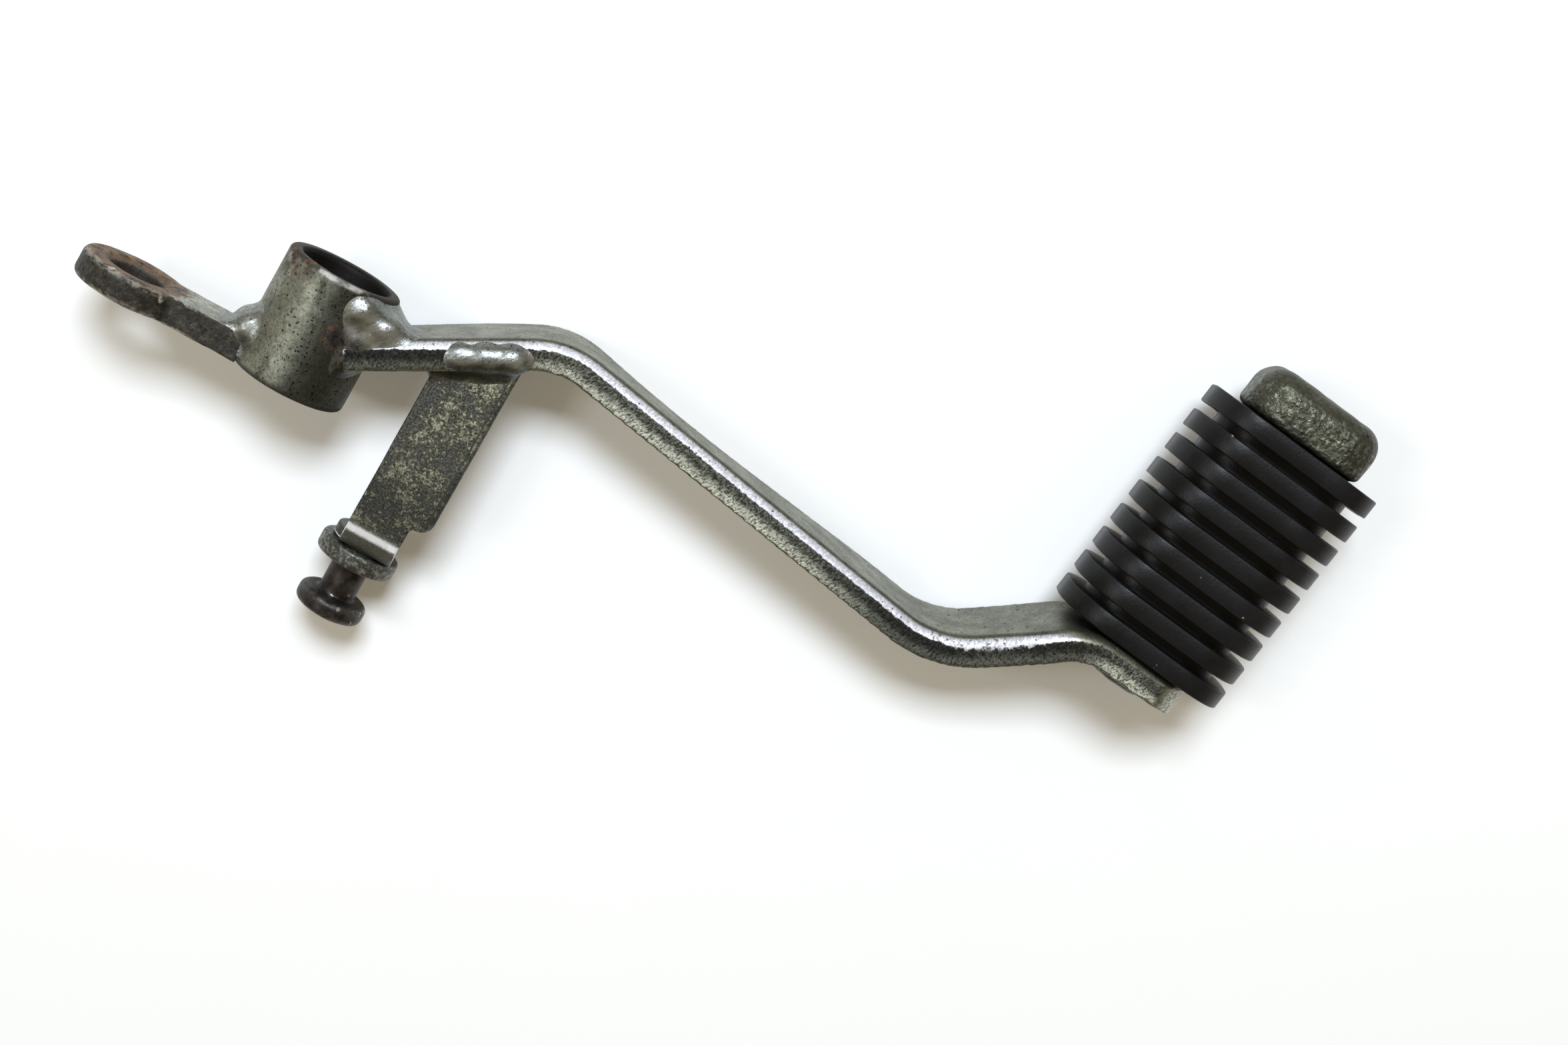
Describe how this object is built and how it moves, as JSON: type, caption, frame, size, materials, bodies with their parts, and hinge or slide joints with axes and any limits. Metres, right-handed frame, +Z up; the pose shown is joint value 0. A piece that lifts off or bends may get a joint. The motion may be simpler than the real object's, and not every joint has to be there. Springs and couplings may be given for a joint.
{
  "type": "brake pedal",
  "caption": "Motorbike brake pedal: bent plated lever welded to a pivot tube, with a ribbed rubber foot pad, an eye arm for the brake rod and a bracket with a post for the return spring.",
  "frame": {"origin": "middle of the pivot bore, on its axis", "axes": "+Y along the pivot bore towards the foot pad's side, +X forward along the lever to the foot pad, +Z up, on the side of the lever's top edge and the tread"},
  "size_m": [0.2691, 0.1553, 0.0346],
  "materials": {
    "plated_steel": "dulled plating with small dark pits and a rusty rim",
    "lever_plating": "dulled plating, rubbed bright along the rolled edge, rough dark sheared edge",
    "rusty_steel": "plating worn off, brown rust and grime",
    "pitted_plating": "plating speckled by corrosion",
    "dark_steel": "oily dark brown with a rubbed rim",
    "forged_steel": "rough forged skin under dulled plating",
    "black_rubber": "satin, slightly dusty",
    "weld_metal": "smooth plated weld bead"
  },
  "bodies": {
    "root": {"pivot_tube": "plated_steel", "pedal_lever": "lever_plating", "rod_arm": "rusty_steel", "spring_bracket": "pitted_plating", "spring_post": "dark_steel", "pad_peg": "forged_steel", "pad_rubber": "black_rubber", "lever_weld": "weld_metal", "rod_arm_weld": "weld_metal", "bracket_weld": "weld_metal", "peg_weld": "weld_metal"}
  },
  "joints": []
}
